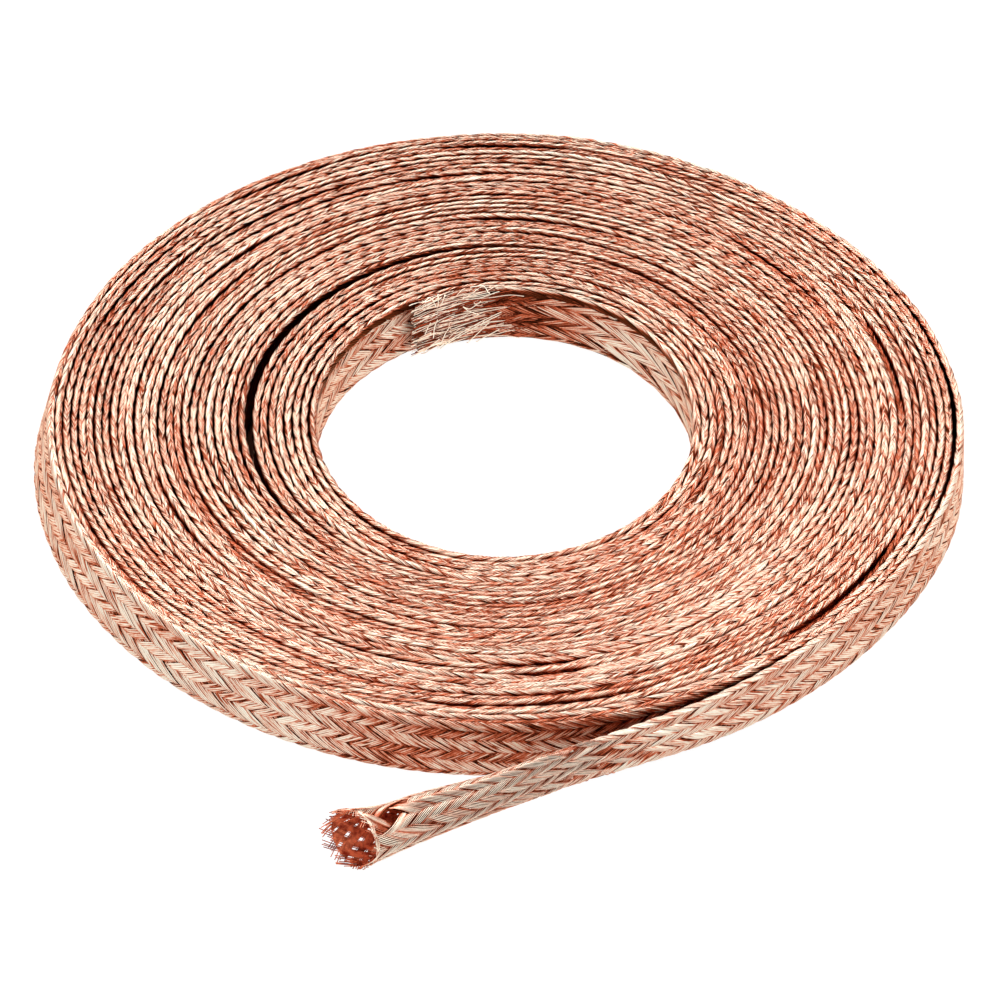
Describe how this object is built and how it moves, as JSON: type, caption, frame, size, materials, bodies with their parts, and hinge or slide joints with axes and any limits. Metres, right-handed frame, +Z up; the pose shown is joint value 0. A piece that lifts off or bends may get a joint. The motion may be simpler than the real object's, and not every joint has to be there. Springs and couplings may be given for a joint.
{
  "type": "flexible busbar braid",
  "caption": "Long flat braid of bare copper wire, wound on edge into a flat spiral roll, with its free end opened into a short tube.",
  "frame": {"origin": "under the middle of the whole braid's footprint, free end included, on the surface that the roll lies on", "axes": "+Z up along the roll's winding axis, +Y towards the back of the roll, away from the free end, +X to the right as the free end points to the front left"},
  "size_m": [0.1336, 0.1556, 0.01],
  "materials": {
    "bare_copper": "bare bright copper wire, woven, unplated"
  },
  "bodies": {
    "root": {"copper_braid": "bare_copper"}
  },
  "joints": []
}
